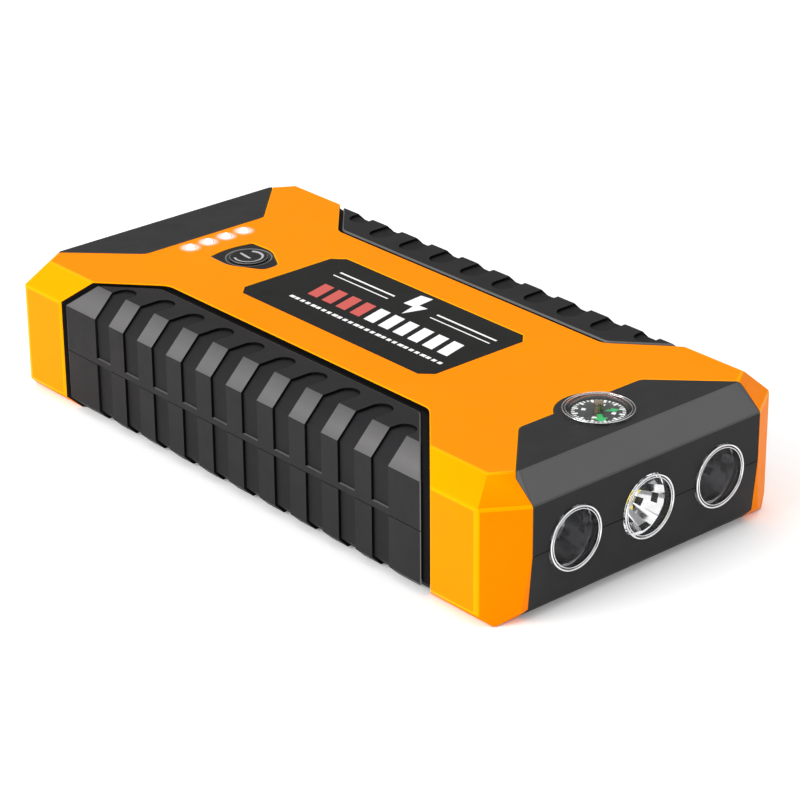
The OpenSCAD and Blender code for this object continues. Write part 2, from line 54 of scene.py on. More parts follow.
WHITE = (1, 1, 1, 1)


# ---- Camera ----

CAMERA_AT = Vector((-0.43335, -0.50617, 0.31973))
CAMERA_BACK = Vector((-0.59501, -0.68532, 0.41988))
CAMERA_UP = Vector((0.28127, 0.31183, 0.90755))
CAMERA_LENS = 131.99


def make_camera():
    data = bpy.data.cameras.new("camera")
    data.lens = CAMERA_LENS
    data.sensor_width = 36
    camera = bpy.data.objects.new("camera", data)
    back = CAMERA_BACK.normalized()
    right = CAMERA_UP.cross(back).normalized()
    up = back.cross(right)
    turn = Matrix((right, up, back)).transposed()
    camera.matrix_world = Matrix.Translation(CAMERA_AT) @ turn.to_4x4()
    bpy.context.scene.collection.objects.link(camera)
    bpy.context.scene.camera = camera


make_camera()

# ---- Materials ----


class Recipe:
    """A node material under construction."""

    def __init__(self, name, **values):
        self.material = bpy.data.materials.new(name)
        self.material.use_nodes = True
        self.nodes = self.material.node_tree.nodes
        self.links = self.material.node_tree.links
        self.shader = self.nodes["Principled BSDF"]
        self.place = self.nodes.new("ShaderNodeTexCoord").outputs["Object"]
        for socket, value in values.items():
            self.shader.inputs[socket.replace("_", " ")].default_value = value

    def add(self, kind, **settings):
        node = self.nodes.new("ShaderNode" + kind)
        for key, value in settings.items():
            if key in node.inputs:
                node.inputs[key].default_value = value
            else:
                setattr(node, key, value)
        return node

    def noise(self, scale, detail=2.0, roughness=0.5):
        node = self.add("TexNoise", Scale=scale, Detail=detail, Roughness=roughness)
        self.links.new(self.place, node.inputs["Vector"])
        return node.outputs["Fac"]

    def spread(self, value, low, high, start=0.3, end=0.7, curve="LINEAR"):
        """value from start..end mapped to low..high."""
        node = self.add("MapRange", interpolation_type=curve)
        for i, v in enumerate((start, end, low, high), 1):
            node.inputs[i].default_value = v
        self.links.new(value, node.inputs[0])
        return node.outputs[0]

    def blend(self, factor, a, b):
        """Colour a where factor is 0, b where it is 1. Each may be a colour or a socket."""
        node = self.add("Mix", data_type="RGBA")
        if isinstance(factor, (int, float)):
            node.inputs[0].default_value = factor
        else:
            self.links.new(factor, node.inputs[0])
        for i, c in ((6, a), (7, b)):
            if isinstance(c, bpy.types.NodeSocket):
                self.links.new(c, node.inputs[i])
            else:
                node.inputs[i].default_value = c
        return node.outputs[2]

    def maths(self, operation, a, b):
        """The result of a two-value operation. Each value may be a number or a socket."""
        node = self.add("Math", operation=operation)
        for i, v in enumerate((a, b)):
            if isinstance(v, bpy.types.NodeSocket):
                self.links.new(v, node.inputs[i])
            else:
                node.inputs[i].default_value = v
        return node.outputs[0]

    def distance(self, point):
        """How far the shaded place is from a point."""
        node = self.add("VectorMath", operation="DISTANCE")
        node.inputs[1].default_value = point
        self.links.new(self.place, node.inputs[0])
        return node.outputs["Value"]

    def colour(self, socket):
        self.links.new(socket, self.shader.inputs["Base Color"])

    def rough(self, socket):
        self.links.new(socket, self.shader.inputs["Roughness"])

    def bump(self, height, depth, strength=1.0):
        node = self.add("Bump", Strength=strength, Distance=depth)
        self.links.new(height, node.inputs["Height"])
        self.links.new(node.outputs[0], self.shader.inputs["Normal"])

    def done(self):
        return self.material


def tinted(colour, factor):
    return tuple(min(c * factor, 1) for c in colour[:3]) + (1,)


def mould(name, colour, rough, grain=0.02 * MM, grain_scale=3500, gloss=0.5, patchy=0.06, sheen=WHITE):
    """Recipe of moulded plastic or rubber: a fine grain, faint flow marks and handling marks in its shine.

    gloss is its specular level, patchy how much its colour varies, and sheen tints its reflections.
    Gives the recipe and the socket of its colour."""
    r = Recipe(name, Specular_IOR_Level=gloss, Specular_Tint=sheen)
    shade = r.blend(r.spread(r.noise(28, 3), 0, 1), tinted(colour, 1 - patchy), tinted(colour, 1 + patchy))
    r.colour(shade)
    r.rough(r.spread(r.noise(160, 5, 0.6), rough - 0.05, rough + 0.06))
    r.bump(r.noise(grain_scale, 2, 0.6), grain)
    return r, shade


def moulded(name, colour, rough, **settings):
    """Material of moulded plastic or rubber."""
    return mould(name, colour, rough, **settings)[0].done()


def metal(name, colour, rough, scratch=0.0):
    r = Recipe(name, Metallic=1.0)
    marks = r.noise(400, 4)
    r.colour(r.blend(r.spread(marks, 0, 1), tinted(colour, 0.92), tinted(colour, 1.04)))
    r.rough(r.spread(r.noise(900, 3), rough * 0.8, rough * 1.2))
    if scratch:
        r.bump(r.noise(2500, 2), scratch)
    return r.done()


MIRROR_CURVE = 5.0
MIRROR_LEAST = 0.008
MIRROR_MOST = 0.75


def clear(name, rough=0.02):
    """Thin clear plastic: it mirrors more at a slant, and lets the rest of the light through."""
    r = Recipe(name, Metallic=1.0)
    r.shader.inputs["Base Color"].default_value = (0.95, 0.96, 0.97, 1)
    r.rough(r.spread(r.noise(500, 3), rough, rough + 0.02))
    slant = r.add("LayerWeight", Blend=0.5).outputs["Facing"]
    mirror = r.spread(r.maths("POWER", slant, MIRROR_CURVE), MIRROR_LEAST, MIRROR_MOST, 0, 1)
    r.links.new(mirror, r.shader.inputs["Alpha"])
    return r.done()


def glowing(name, colour, light, strength):
    r = Recipe(name, Roughness=0.4)
    r.shader.inputs["Base Color"].default_value = colour
    r.shader.inputs["Emission Strength"].default_value = strength
    shade = r.blend(r.spread(r.noise(900, 2), 0, 1), tinted(light, 0.92), light)
    r.links.new(shade, r.shader.inputs["Emission Color"])
    return r.done()


LIGHTS_X = 0.6 * MM
LIGHTS_PITCH = 5.9 * MM
LIGHT_XS = [LIGHTS_X + (i - 1.5) * LIGHTS_PITCH for i in range(4)]
LIGHTS_Y = 66.3 * MM
# Radius of the glow painted into the orange round each charge light.
PAINTED_GLOW_R = 3.3 * MM
LIGHT_R = 1.15 * MM


def with_painted_glow(name, colour, painted_glow):
    """Moulded plastic with a glow of the four charge lights painted into its colour round them."""
    r, plain = mould(name, colour, 0.45, gloss=0.03, patchy=0.02, sheen=ORANGE_SHEEN)
    gaps = [r.distance((x, LIGHTS_Y, TOP_Z)) for x in LIGHT_XS]
    nearest = gaps[0]
    for gap in gaps[1:]:
        nearest = r.maths("MINIMUM", nearest, gap)
    # Painted glow: the colour turns to the glow colour near each light, as painted light.
    painted_glow_share = r.spread(nearest, 1, 0, LIGHT_R, PAINTED_GLOW_R, "SMOOTHSTEP")
    r.colour(r.blend(painted_glow_share, plain, painted_glow))
    return r.done()


HALF_W, HALF_L, TOP_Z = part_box("top_cover")[1]
BEVEL = 6 * MM
SHOULDER_Z = TOP_Z - BEVEL
FOOT = 3 * MM
PART_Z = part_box("case_lower")[1].z
DRAFT = 1.3 * MM

ORANGE_SHEEN = (1.0, 0.35, 0.0, 1)
# The orange plastic, with a pale pink glow painted round the charge lights.
orange = with_painted_glow("orange_plastic", (1.0, 0.24, 0.0, 1), (1.0, 0.72, 0.7, 1))
# Lighter, yellower orange on the rounded strips of the cover: a painted highlight.
orange_painted_highlight = moulded("orange_painted_highlight", (1.0, 0.35, 0.0, 1), 0.4, gloss=0.05, patchy=0.02, sheen=ORANGE_SHEEN)
# Lighter orange on the side-facing slanted facets: painted light from the side.
orange_painted_lit_facet = moulded(
    "orange_painted_lit_facet", (1.0, 0.31, 0.0, 1), 0.45, gloss=0.03, patchy=0.02, sheen=ORANGE_SHEEN
)
black = moulded("case_plastic", (0.018, 0.018, 0.0187, 1), 0.45, gloss=0.12)
# Near black for painted shade on walls and floors in openings and grooves, and for the dark parting joint.
joint_and_shade_black = moulded("painted_shade_and_joint", (0.004, 0.004, 0.004, 1), 0.6, gloss=0.05)
# Lighter black on the rounded strips of the case and sockets: a painted highlight.
black_painted_highlight = moulded("case_painted_highlight", (0.055, 0.055, 0.056, 1), 0.36, gloss=0.4)
# Lighter black on the slanted facets of the case: painted light from above.
black_painted_lit_facet = moulded("case_painted_lit_facet", (0.085, 0.085, 0.087, 1), 0.42, gloss=0.3)
rubber = moulded("grip_rubber", (0.016, 0.0155, 0.0165, 1), 0.52, gloss=0.1, grain=0.03 * MM)
# Lighter grey on the rounded rims of the grips and the flap: a painted highlight.
rubber_painted_highlight = moulded("grip_edge_painted_highlight", (0.1, 0.1, 0.102, 1), 0.42, gloss=0.4)
# Darker rubber on the floors of the grooves: painted shade.
rubber_painted_shade_floor = moulded("grip_painted_shade_floor", (0.0125, 0.012, 0.013, 1), 0.6, gloss=0.1)
# Lighter rubber on the ribs' slanted faces and the grooves' ledges: painted light from above.
rubber_painted_lit_facet = moulded("grip_painted_lit_facet", (0.1, 0.097, 0.098, 1), 0.45, gloss=0.25)
film = moulded("label_film", (0.0075, 0.0077, 0.007, 1), 0.4, grain=0.004 * MM, gloss=0.08)
print_white = moulded("label_white", (0.86, 0.86, 0.86, 1), 0.4, grain=0.002 * MM, patchy=0.02)
print_red = moulded("label_red", (0.55, 0.07, 0.055, 1), 0.4, grain=0.002 * MM, patchy=0.03)
print_grey = moulded("symbol_grey", (0.42, 0.41, 0.42, 1), 0.35, grain=0.002 * MM, patchy=0.03)
silver_film = moulded("rating_film", (0.4, 0.4, 0.41, 1), 0.35, grain=0.004 * MM)
piano = moulded("button_plastic", (0.005, 0.0052, 0.0055, 1), 0.28, grain=0.002 * MM, gloss=0.12)
# Grey on the rounded strips of the button and its bezel: a painted highlight.
piano_painted_highlight = moulded("button_painted_highlight", (0.13, 0.125, 0.13, 1), 0.22, grain=0.002 * MM)
white = moulded("white_plastic", (0.72, 0.72, 0.7, 1), 0.4)
blue = moulded("socket_nylon", (0.012, 0.06, 0.32, 1), 0.45)
fr4 = moulded("circuit_board", (0.012, 0.09, 0.035, 1), 0.35, grain=0.01 * MM)
foam = moulded("foam", (0.06, 0.06, 0.065, 1), 0.9, grain=0.2 * MM, grain_scale=1200)
dial_black = moulded("dial_black", (0.012, 0.016, 0.014, 1), 0.35, grain=0.003 * MM)
dial_green = moulded("dial_green", (0.02, 0.42, 0.12, 1), 0.35, grain=0.003 * MM, patchy=0.1)
dial_white = moulded("dial_white", (0.8, 0.82, 0.8, 1), 0.35, grain=0.003 * MM)
pouch = metal("cell_foil", (0.7, 0.7, 0.72, 1), 0.35, 0.01 * MM)
steel = metal("steel", (0.6, 0.6, 0.62, 1), 0.3, 0.003 * MM)
gold = metal("gold_plate", (0.9, 0.62, 0.25, 1), 0.25)
copper = metal("copper", (0.85, 0.42, 0.25, 1), 0.35)
chrome = metal("mirror_bowl", (0.92, 0.92, 0.93, 1), 0.07)
smoked = moulded("smoked_bowl", (0.006, 0.006, 0.0068, 1), 0.12, grain=0.0005 * MM, gloss=0.3)
haze = metal("haze_flat", (0.17, 0.17, 0.18, 1), 0.08)
bronze = metal("bronze", (0.36, 0.27, 0.17, 1), 0.3)
rim_shine = metal("lens_rim", (0.86, 0.86, 0.88, 1), 0.12)
clear_plastic = clear("clear_plastic")
light_guide = glowing("charge_light", (1, 0.9, 0.92, 1), (1.0, 0.88, 0.92, 1), 2.2)
phosphor = glowing("phosphor", (0.9, 0.75, 0.15, 1), (1.0, 0.8, 0.15, 1), 0.5)
red_sleeve = moulded("red_sleeve", (0.4, 0.01, 0.01, 1), 0.5)
black_sleeve = moulded("black_sleeve", (0.015, 0.015, 0.015, 1), 0.5)
can = moulded("capacitor_sleeve", (0.03, 0.035, 0.12, 1), 0.35)
ferrite = moulded("ferrite", (0.05, 0.05, 0.052, 1), 0.7)

FINISHES = {
    "black_plastic": black, "gloss_black_plastic": piano, "flap_rubber": rubber,
    "silver_film": silver_film, "switch_plastic": piano, "circuit_board": fr4, "white_board": white,
    "light_guide": light_guide, "charge_chip": light_guide, "bronze": bronze, "card_white": dial_white,
    "clear_plastic": clear_plastic, "mirror_bowl": chrome, "smoked_bowl": smoked, "lamp_chip": phosphor,
    "cell_pouch": pouch, "foam": foam, "copper": copper, "red_wire": red_sleeve, "black_wire": black_sleeve,
    "ferrite": ferrite, "capacitor_can": can, "blue_plastic": blue, "gold_plate": gold, "steel": steel,
    "white_plastic": white, "orange_plastic": orange, "grip_rubber": rubber, "label_film": film,
}


def dress_frame():
    """Gives each carried-over CAD node its slot's material."""
    for part in frame["record"]["subparts"]:
        node = frame["nodes"][part["node"]]
        node.data.materials.clear()
        node.data.materials.append(FINISHES[part["material_slot"]])


dress_frame()

# ---- Rounded copies of CAD nodes ----


def body_of(node):
    return next(b for b, members in frame["record"]["behaviour"]["bodies"].items() if node in members)


def add_piece(name, work, materials, body, sharp=38):
    """A new piece from a bmesh, on a body."""
    mesh = bpy.data.meshes.new(name)
    bmesh.ops.recalc_face_normals(work, faces=work.faces)
    work.to_mesh(mesh)
    work.free()
    for m in materials:
        mesh.materials.append(m)
    piece = bpy.data.objects.new(name, mesh)
    bpy.context.scene.collection.objects.link(piece)
    mesh.shade_smooth()
    mesh.set_sharp_from_angle(angle=math.radians(sharp))
    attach(piece, body)
    return piece


def rounded(node, width, weigh, materials, segments=3, sort_face=None, clamp=False):
    """A copy of a CAD node with its edges rounded, which replaces it.

    weigh(edge, angle in degrees) gives the share of width that an edge is rounded to. The rounded
    strips take the second material, and sort_face(face) picks one for the other faces. clamp keeps
    rounded strips from crossing."""
    mesh = frame["nodes"][node].data.copy()
    work = bmesh.new()
    work.from_mesh(mesh)
    bmesh.ops.remove_doubles(work, verts=work.verts, dist=0.004 * MM)
    bmesh.ops.dissolve_limit(work, angle_limit=math.radians(0.4), verts=work.verts, edges=work.edges)
    layer = work.edges.layers.float.new("bevel_weight_edge")
    for edge in work.edges:
        if len(edge.link_faces) == 2 and edge.is_convex:
            edge[layer] = weigh(edge, math.degrees(edge.calc_face_angle()))
    work.normal_update()
    for face in work.faces:
        face.material_index = sort_face(face) if sort_face else 0
    mesh.materials.clear()
    for m in materials:
        mesh.materials.append(m)
    work.to_mesh(mesh)
    work.free()
    piece = bpy.data.objects.new(node + "_finished", mesh)
    bpy.context.scene.collection.objects.link(piece)
    if width:
        bevel = piece.modifiers.new("round", "BEVEL")
        bevel.limit_method = "WEIGHT"
        bevel.width = width
        bevel.segments = segments
        bevel.use_clamp_overlap = clamp
        bevel.material = 1 if len(materials) > 1 else -1
        apply_modifiers(piece)
    piece.data.shade_smooth()
    piece.data.set_sharp_from_angle(angle=math.radians(38))
    normals = piece.modifiers.new("normals", "WEIGHTED_NORMAL")
    normals.keep_sharp = True
    normals.weight = 80
    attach(piece, body_of(node))
    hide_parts(node)
    return piece


def apply_modifiers(piece):
    graph = bpy.context.evaluated_depsgraph_get()
    graph.update()
    done = bpy.data.meshes.new_from_object(piece.evaluated_get(graph))
    piece.modifiers.clear()
    piece.data = done


CORNER_CUT_X = 10.4 * MM
CORNER_CUT_Y = 6.6 * MM
CORNER_N = Vector((CORNER_CUT_Y, CORNER_CUT_X, 0)).normalized()
CORNER_D = CORNER_N.x * HALF_W + CORNER_N.y * (HALF_L - CORNER_CUT_Y)


def depth(point):
    """How far a point lies under the outer form of the pack."""
    x, y, z = abs(point.x), abs(point.y), point.z
    side = HALF_W - x
    end = HALF_L - y
    corner = CORNER_D - x * CORNER_N.x - y * CORNER_N.y
    leaning = end - DRAFT * max(0, 1 - z / PART_Z)
    foot = (min(side, leaning) + z - FOOT) * math.sqrt(0.5)
    shoulder = (min(side, end, corner) + TOP_Z - z - BEVEL) * math.sqrt(0.5)
    return min(side, leaning, corner, TOP_Z - z, foot, shoulder)


SKIN = 0.15 * MM


def on_skin(point):
    """True on the outer faces of the pack, and false inside it."""
    return depth(point) < SKIN


def reach(face):
    """Least and greatest depth of a face's corners."""
    depths = [depth(v.co) for v in face.verts]
    return min(depths), max(depths)


def is_facet(face):
    """True for a face of the slanted band between the top and the sides."""
    return 0.5 < face.normal.z < 0.9 and face.calc_center_median().z > SHOULDER_Z - 2 * MM


def is_wall(face):
    return depth(face.calc_center_median()) > 0.25 * MM


# Walls of the openings take near black painted shade; side-facing slanted facets take the painted lighter
# orange.
def cover_face(face):
    if is_wall(face):
        return 3
    return 2 if is_facet(face) and abs(face.normal.x) > 0.5 else 0


# Faces sunk 0.5 to 2.1 mm under the outer form take near black painted shade; slanted facets on the skin
# take a painted lighter black.
def case_face(face):
    middle = face.calc_center_median()
    if 0.5 * MM < depth(middle) < 2.1 * MM:
        return 3
    return 2 if is_facet(face) and on_skin(middle) else 0


def grip_face(face):
    """Picks the ribs' slanted faces and the grooves' ledges, which take a painted lighter rubber, the
    grooves' floors, which take painted shade, and the grooves' walls, which take near black painted shade.
    """
    least, most = reach(face)
    if most - least > 0.4 * MM and most < 1.4 * MM:
        return 3 if face.normal.z > 0.6 else 4
    if least > 0.85 * MM:
        return 2
    return 3 if is_facet(face) else 0


def cover_edge(edge, angle):
    a, b = (v.co for v in edge.verts)
    if angle < 12 or not (on_skin(a) and on_skin(b)) or min(a.z, b.z) < FOOT / 2:
        return 0
    middle = (a + b) / 2
    if any(is_wall(f) for f in edge.link_faces):
        near_corner = abs(middle.y) > 72 * MM and abs(middle.x) > 30 * MM
        return 0 if near_corner else 0.2
    if abs((b - a).normalized().z) > 0.6:
        return 1.0 if abs(middle.x) > 44 * MM else 0
    return 0.4


def skin_edge(edge, angle):
    a, b = (v.co for v in edge.verts)
    if angle < 12 or not (on_skin(a) and on_skin(b)):
        return 0
    return 1.0 if angle < 50 else 0.3


def grip_edge_painted_highlight(edge, angle):
    """Rounds the rim of a grip, where its face meets the wall of the channel round it; the rounded strips
    take a painted highlight.
    """
    spans = [reach(f) for f in edge.link_faces]
    walls = [f for f, span in zip(edge.link_faces, spans) if span[1] > 1.6 * MM and abs(f.normal.z) < 0.3]
    faces = [span for span in spans if span[1] < 0.7 * MM]
    return 1 if angle > 40 and walls and faces else 0


def every_edge(edge, angle):
    return 1.0 if angle > 25 else 0


def finish_shell():
    # The rounded strips take painted highlight materials, and the sorted faces take painted lit facets or
    # painted shade.
    rounded(
        "top_cover", 1.2 * MM, cover_edge, [orange, orange_painted_highlight, orange_painted_lit_facet, joint_and_shade_black],
        sort_face=cover_face,
    )
    for half in ("case_upper", "case_lower"):
        rounded(
            half, 0.5 * MM, skin_edge, [black, black_painted_highlight, black_painted_lit_facet, joint_and_shade_black],
            sort_face=case_face, clamp=True,
        )
    for side in ("left", "right"):
        for half in ("upper", "lower"):
            rounded(
                f"grip_{side}_{half}", 0.4 * MM, grip_edge_painted_highlight,
                [rubber, rubber_painted_highlight, rubber_painted_shade_floor, rubber_painted_lit_facet, joint_and_shade_black], segments=2, sort_face=grip_face,
            )


finish_shell()

# ---- Shapes ----


def lathe(profile, at, axis="z", steps=96, work=None):
    """A closed profile of (radius, height) points turned about an axis through a point."""
    work = work or bmesh.new()
    rings = []
    for k in range(steps):
        a = 2 * math.pi * k / steps
        ring = []
        for r, h in profile:
            if axis == "z":
                place = Vector((r * math.cos(a), r * math.sin(a), h))
            else:
                place = Vector((r * math.cos(a), -h, r * math.sin(a)))
            ring.append(work.verts.new(Vector(at) + place))
        rings.append(ring)
    n = len(profile)
    for k in range(steps):
        for i in range(n):
            j = (i + 1) % n
            after = rings[(k + 1) % steps]
            work.faces.new((rings[k][i], rings[k][j], after[j], after[i]))
    return work


def tube_profile(r, h, thick, sides=12):
    """Round profile for a ring of radius r at height h."""
    points = []
    for k in range(sides):
        a = 2 * math.pi * k / sides
        points.append((r + thick * math.cos(a), h + thick * math.sin(a)))
    return points


def plate(work, outline, z0, z1, index=0):
    """A flat plate with the outline's shape, added to a bmesh."""
    low = [work.verts.new((x, y, z0)) for x, y in outline]
    high = [work.verts.new((x, y, z1)) for x, y in outline]
    faces = [work.faces.new(high), work.faces.new(low[::-1])]
    n = len(outline)
    for i in range(n):
        j = (i + 1) % n
        faces.append(work.faces.new((low[i], low[j], high[j], high[i])))
    for face in faces:
        face.material_index = index


def arc_band(centre, r0, r1, a0, a1, steps=24):
    """Outline of a curved band, angles in degrees."""
    outer = []
    inner = []
    for k in range(steps + 1):
        a = math.radians(a0 + (a1 - a0) * k / steps)
        outer.append((centre[0] + r1 * math.cos(a), centre[1] + r1 * math.sin(a)))
        inner.append((centre[0] + r0 * math.cos(a), centre[1] + r0 * math.sin(a)))
    return outer + inner[::-1]


def bar(x0, x1, y0, y1, slant=0.0):
    """Outline of a bar in the plan, its far side moved along Y by slant."""
    return [(x0, y0), (x1, y0 + slant), (x1, y1 + slant), (x0, y1)]


# ---- Label ----

LABEL_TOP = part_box("top_label")[1].z
INK = 0.03 * MM


def mm(outline):
    return [(x * MM, y * MM) for x, y in outline]


def label_marks():
    """A charge scale of slanted bars, a bolt and two rules: plain marks with no words."""
    work = bmesh.new()
    z0 = LABEL_TOP - INK
    z1 = LABEL_TOP + INK
    for i in range(10):
        y = 22.0 - i * 5.4
        plate(work, mm(bar(-5.2, 2.2, y - 3.6, y, 1.9)), z0, z1, 1 if i < 4 else 0)
    for i in range(28):
        y = 24.0 - i * 2.05
        plate(work, mm(bar(-9.6, -8.5, y - (1.3 if i % 4 else 1.7), y)), z0, z1)
    bolt = [(15.0, 1.8), (8.6, 1.2), (8.9, -2.0), (3.9, -3.4), (10.6, -5.6), (10.4, -2.6), (15.6, -2.0)]
    plate(work, mm(bolt), z0, z1)
    for y0, y1 in ((6.0, 27.0), (-31.5, -10.0)):
        plate(work, mm(bar(9.5, 10.1, y0, y1)), z0, z1)
        plate(work, mm(bar(7.3, 7.7, y0, y1)), z0, z1)
    return add_piece("label_marks", work, [print_white, print_red], "pack")


def rating_marks():
    """A frame and rows of short bars on the plate under the pack."""
    work = bmesh.new()
    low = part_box("rating_label")[0]
    z0 = low.z - INK
    z1 = low.z + INK
    for x0, x1, y0, y1 in ((-23, 23, 13.2, 13.7), (-23, 23, -13.7, -13.2)):
        plate(work, mm(bar(x0, x1, y0, y1)), z0, z1)
    for x0, x1, y0, y1 in ((-23.2, -22.7, -13.7, 13.7), (22.7, 23.2, -13.7, 13.7)):
        plate(work, mm(bar(x0, x1, y0, y1)), z0, z1)
    for row in range(6):
        for i in range(9 - row % 3):
            plate(work, mm(bar(-20 + i * 4.4, -17 + i * 4.4, 8.6 - row * 3.4, 9.4 - row * 3.4)), z0, z1)
    return add_piece("rating_marks", work, [piano], "pack")


label_marks()
rating_marks()

# ---- Power button ----

BUTTON_AT = (-1.1 * MM, 50.9 * MM)


DISH_R = 18.8 * MM
DISH_TOP = TOP_Z + 18.6 * MM


def on_dish(x, y):
    """Height of the button's hollow face at a point."""
    away = math.hypot(x - BUTTON_AT[0], y - BUTTON_AT[1])
    return DISH_TOP - math.sqrt(DISH_R ** 2 - away ** 2)


def power_symbol():
    """Open ring with a line through its gap, lying in the hollow of the button."""
    work = bmesh.new()
    plate(work, arc_band(BUTTON_AT, 3.3 * MM, 3.95 * MM, 150, 398), -0.2 * MM, INK)
    x, y = BUTTON_AT
    plate(work, bar(x - 0.3 * MM, x + 0.3 * MM, y - 0.6 * MM, y + 3.4 * MM), -0.2 * MM, INK)
    for v in work.verts:
        v.co.z += on_dish(v.co.x, v.co.y)
    return add_piece("power_symbol", work, [print_grey], "button")


def bezel_throat():
    """Slanted ring between the shield and the button, all in the painted highlight grey."""
    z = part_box("button_bezel")[1].z
    profile = [
        (5.2 * MM, z - 0.5 * MM), (5.9 * MM, z + 0.1 * MM),
        (6.15 * MM, z + 0.1 * MM), (6.2 * MM, z - 0.5 * MM),
    ]
    work = lathe(profile, (BUTTON_AT[0], BUTTON_AT[1], 0))
    return add_piece("bezel_throat", work, [piano_painted_highlight], "pack", 60)


rounded("button_bezel", 0.15 * MM, every_edge, [piano, piano_painted_highlight], segments=2)
rounded("power_button", 0.15 * MM, every_edge, [piano, piano_painted_highlight], segments=2)
power_symbol()
bezel_throat()

# ---- Charge lights ----


def light_lenses():
    """Low domes on the ends of the light guide."""
    work = bmesh.new()
    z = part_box("charge_light_guide")[1].z
    for x in LIGHT_XS:
        profile = [(0.02 * MM, z - 0.1 * MM), (0.02 * MM, z + 0.8 * MM), (0.45 * MM, z + 0.7 * MM),
                   (0.85 * MM, z + 0.4 * MM), (1.1 * MM, z - 0.1 * MM)]
        lathe(profile, (x, LIGHTS_Y, 0), steps=40, work=work)
    return add_piece("light_lenses", work, [light_guide], "pack", 60)


light_lenses()

# ---- Compass ----

COMPASS_AT = (0.0, -76.4 * MM)
CARD_TOP = 34.9 * MM
ARROWS = (-127, -33)


def dial_arrow(work, centre, angle, r0, r1, half):
    """An arrow on the card that points outwards, from radius r0 to r1."""
    a = math.radians(angle)
    out = Vector((math.cos(a), math.sin(a)))
    side = Vector((-out.y, out.x)) * half
    stem = side * 0.35
    tail = Vector(centre) + out * r0
    neck = Vector(centre) + out * (r0 + (r1 - r0) * 0.45)
    tip = Vector(centre) + out * r1
    points = [tail + stem, neck + stem, neck + side, tip, neck - side, neck - stem, tail - stem]
    plate(work, [(p.x, p.y) for p in points], CARD_TOP - INK, CARD_TOP + 2 * INK, 1)


def dial_marks():
    """Ticks every ten degrees, a block every thirty and two green arrows, all turning with the card."""
    work = bmesh.new()
    for k in range(36):
        half = 2.0 if k % 3 else 3.6
        inner = (5.5 if k % 3 else 4.9) * MM
        band = arc_band(COMPASS_AT, inner, 6.3 * MM, k * 10 - half, k * 10 + half, 3)
        plate(work, band, CARD_TOP - INK, CARD_TOP + INK)
    for angle in (-60, 30, 120, 210):
        band = arc_band(COMPASS_AT, 3.1 * MM, 4.1 * MM, angle - 9, angle + 9, 6)
        plate(work, band, CARD_TOP - INK, CARD_TOP + INK)
    dial_arrow(work, COMPASS_AT, ARROWS[0], 1.6 * MM, 6.1 * MM, 1.7 * MM)
    dial_arrow(work, COMPASS_AT, ARROWS[1], 1.6 * MM, 5.0 * MM, 1.3 * MM)
    return add_piece("dial_marks", work, [dial_white, dial_green], "card")


def card_face(face):
    away = max(math.hypot(v.co.x - COMPASS_AT[0], v.co.y - COMPASS_AT[1]) for v in face.verts)
    return 2 if away < 1.3 * MM else 0


def compass_rings():
    """Fine raised rings on the flange of the dome."""
    work = bmesh.new()
    flange_top = TOP_Z + 0.72 * MM
    for r, h, thick in ((8.4, flange_top, 0.1), (7.75, flange_top, 0.08)):
        lathe(tube_profile(r * MM, h, thick * MM), (COMPASS_AT[0], COMPASS_AT[1], 0), work=work)
    return add_piece("compass_rings", work, [rim_shine], "pack", 60)


rounded("compass_card", 0, every_edge, [dial_black, dial_black, bronze], sort_face=card_face)
rounded("compass_dome", 0.08 * MM, every_edge, [clear_plastic], segments=2)
dial_marks()
compass_rings()

# ---- Lamps ----

LAMP_XS = {"left": -23.3 * MM, "middle": 0.0, "right": 23.3 * MM}
LAMP_Z = 16.9 * MM


def lamp_at(side):
    return (LAMP_XS[side], -HALF_L, LAMP_Z)


def lamp_rim(side):
    """Polished double rim round a lens."""
    work = lathe(tube_profile(7.72 * MM, 0.28 * MM, 0.24 * MM), lamp_at(side), axis="y")
    lathe(tube_profile(7.1 * MM, 0.32 * MM, 0.12 * MM), lamp_at(side), axis="y", work=work)
    return add_piece(f"lamp_rim_{side}", work, [rim_shine], "pack", 60)


def lamp_bulb(side, material):
    """Domed light in the bottom of the bowl."""
    base = HALF_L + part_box(f"lamp_led_{side}")[0].y
    profile = [(0.02 * MM, -base - 0.3 * MM)]
    for k in range(9):
        a = math.pi / 2 * k / 8
        profile.append((BULB_R * math.cos(a) + 0.02 * MM, -base + BULB_R * 1.3 * math.sin(a)))
    work = lathe(profile, lamp_at(side), axis="y", steps=32)
    return add_piece(f"lamp_bulb_{side}", work, [material], "pack", 50)


def lamp_bowl(side, materials):
    """Reflector pressed in flats, which replaces the plain bowl. The flats that the pattern picks take the
    dark second material, as painted dark reflections.
    """
    low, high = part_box(f"reflector_{side}")
    deep = high.y - low.y - 0.1 * MM
    mouth = -(low.y + HALF_L) - 0.02 * MM
    inner = []
    for k in range(BOWL_STEPS + 1):
        t = k / BOWL_STEPS
        inner.append((BOWL_MIN + (BOWL_MOUTH - BOWL_MIN) * math.sqrt(1 - t), mouth - t * deep))
    outer = [(r + 0.5 * MM, h) for r, h in inner[:0:-1]]
    collar = [(BOWL_MOUTH + 1 * MM, mouth - 0.6 * MM), (BOWL_MOUTH + 1 * MM, mouth)]
    work = lathe(inner + outer + collar, lamp_at(side), axis="y", steps=BOWL_FLATS)
    for i, face in enumerate(work.faces):
        face.material_index = BOWL_PAINTED_REFLECTIONS[i * 7 % len(BOWL_PAINTED_REFLECTIONS)]
    piece = add_piece(f"lamp_bowl_{side}", work, materials, "pack", 12)
    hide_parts(f"reflector_{side}")
    return piece


BULB_R = 2.0 * MM
BOWL_MIN = 1.9 * MM
BOWL_MOUTH = 6.9 * MM
BOWL_STEPS = 5
BOWL_FLATS = 16
